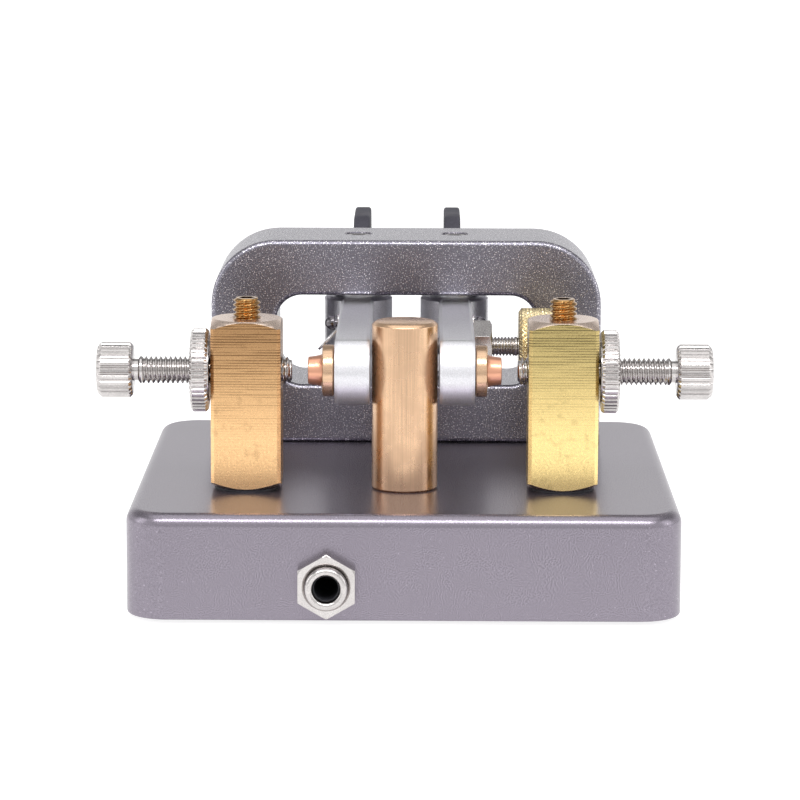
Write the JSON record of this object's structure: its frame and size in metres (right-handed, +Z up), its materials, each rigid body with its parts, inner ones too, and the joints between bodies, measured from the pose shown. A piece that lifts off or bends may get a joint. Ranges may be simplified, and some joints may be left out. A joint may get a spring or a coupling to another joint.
{
  "type": "morse key",
  "caption": "Twin-lever iambic morse key with an arch frame, insulated contact posts, adjustable contact and tension screws and a cable socket.",
  "frame": {"origin": "centre of the base's underside, on the surface that the key rests on", "axes": "+Z up, +Y towards the finger paddles, -Y towards the cable socket, +X to the right as seen from the socket side"},
  "size_m": [0.0882, 0.1054, 0.0477],
  "materials": {
    "base_anodised": "bead-blasted anodised, satin, fine sparkle",
    "frame_anodised": "bead-blasted anodised, dark, fine sparkle",
    "arm_aluminium": "bead-blasted, satin",
    "paddle_black": "dark, fine matt",
    "post_brass": "milled brass, lightly brushed",
    "bronze": "turned, polished",
    "contact_copper": "turned copper",
    "nickel": "bright nickel plate",
    "steel": "plain steel",
    "insulator_black": "matt",
    "silicone_black": "matt rubber",
    "wire_red": "insulation",
    "wire_white": "insulation",
    "wire_black": "insulation"
  },
  "bodies": {
    "key_base": {"base": "base_anodised", "non_slip_pad": "silicone_black", "frame": "frame_anodised", "left_frame_screw": "steel", "right_frame_screw": "steel", "left_post": "post_brass", "right_post": "post_brass", "centre_post": "bronze", "left_post_insulator": "insulator_black", "right_post_insulator": "insulator_black", "left_post_bush": "insulator_black", "right_post_bush": "insulator_black", "left_solder_lug": "nickel", "right_solder_lug": "nickel", "centre_solder_lug": "nickel", "left_post_bolt": "nickel", "right_post_bolt": "nickel", "centre_post_bolt": "nickel", "left_clamp_screw": "post_brass", "right_clamp_screw": "post_brass", "left_upper_pivot": "nickel", "right_upper_pivot": "nickel", "left_lower_pivot": "steel", "right_lower_pivot": "steel", "jack_body": "nickel", "jack_nut": "nickel", "left_wire": "wire_red", "right_wire": "wire_white", "ground_wire": "wire_black", "tension_spring": "steel"},
    "left_lever": {"left_arm": "arm_aluminium", "left_upper_bearing": "bronze", "left_lower_bearing": "bronze", "left_contact_disc": "bronze", "left_contact_tip": "contact_copper", "left_contact_tag": "nickel", "left_tag_rivet": "steel", "left_paddle": "paddle_black", "left_paddle_screw_1": "nickel", "left_paddle_screw_2": "nickel", "spring_anchor_pin": "steel"},
    "right_lever": {"right_arm": "arm_aluminium", "right_upper_bearing": "bronze", "right_lower_bearing": "bronze", "right_contact_disc": "bronze", "right_contact_tip": "contact_copper", "right_contact_tag": "nickel", "right_tag_rivet": "steel", "right_paddle": "paddle_black", "right_paddle_screw_1": "nickel", "right_paddle_screw_2": "nickel", "tension_lock_nut": "nickel"},
    "left_contact_rod": {"left_contact_screw": "nickel"},
    "left_contact_head": {"left_contact_knob": "nickel"},
    "right_contact_rod": {"right_contact_screw": "nickel"},
    "right_contact_head": {"right_contact_knob": "nickel"},
    "left_lock_ring": {"left_lock_wheel": "nickel"},
    "right_lock_ring": {"right_lock_wheel": "nickel"},
    "tension_rod": {"tension_screw": "nickel"},
    "tension_head": {"tension_knob": "post_brass"}
  },
  "joints": [
    {"name": "left_lever_swing", "type": "hinge", "parent": "key_base", "child": "left_lever", "pos_m": [-0.0075, 0.0274, 0.03265], "axis": [0, 0, -1], "range_deg": [0, 2.7], "stiffness_Nm_per_rad": 0.12, "springref_deg": -3.44, "deforming": ["tension_spring"]},
    {"name": "right_lever_swing", "type": "hinge", "parent": "key_base", "child": "right_lever", "pos_m": [0.0075, 0.0274, 0.03265], "axis": [0, 0, 1], "range_deg": [0, 2.7], "stiffness_Nm_per_rad": 0.12, "springref_deg": -3.44, "deforming": ["tension_spring"]},
    {"name": "left_contact_slide", "type": "slide", "parent": "key_base", "child": "left_contact_rod", "axis": [-1, 0, 0], "range_m": [0, 0.0028]},
    {"name": "left_contact_turn", "type": "hinge", "parent": "left_contact_rod", "child": "left_contact_head", "pos_m": [-0.0416, -0.0181, 0.03265], "axis": [-1, 0, 0], "range_deg": [0, 1450]},
    {"name": "left_lock_wheel_turn", "type": "hinge", "parent": "key_base", "child": "left_lock_ring", "pos_m": [-0.0293, -0.0181, 0.03265], "axis": [-1, 0, 0], "range_deg": [0, 180]},
    {"name": "right_contact_slide", "type": "slide", "parent": "key_base", "child": "right_contact_rod", "axis": [1, 0, 0], "range_m": [0, 0.0028]},
    {"name": "right_contact_turn", "type": "hinge", "parent": "right_contact_rod", "child": "right_contact_head", "pos_m": [0.0416, -0.0181, 0.03265], "axis": [1, 0, 0], "range_deg": [0, 1450]},
    {"name": "right_lock_wheel_turn", "type": "hinge", "parent": "key_base", "child": "right_lock_ring", "pos_m": [0.0293, -0.0181, 0.03265], "axis": [1, 0, 0], "range_deg": [0, 180]},
    {"name": "tension_slide", "type": "slide", "parent": "right_lever", "child": "tension_rod", "axis": [1, 0, 0], "range_m": [-0.002, 0.002], "deforming": ["tension_spring"]},
    {"name": "tension_turn", "type": "hinge", "parent": "tension_rod", "child": "tension_head", "pos_m": [0.0206, 0.0055, 0.03265], "axis": [1, 0, 0], "range_deg": [-1450, 1450]}
  ],
  "couplings": [
    {"joint": "left_contact_turn", "follows": "left_contact_slide", "rad_per_m": 8976},
    {"joint": "right_contact_turn", "follows": "right_contact_slide", "rad_per_m": 8976},
    {"joint": "tension_turn", "follows": "tension_slide", "rad_per_m": 12566}
  ]
}
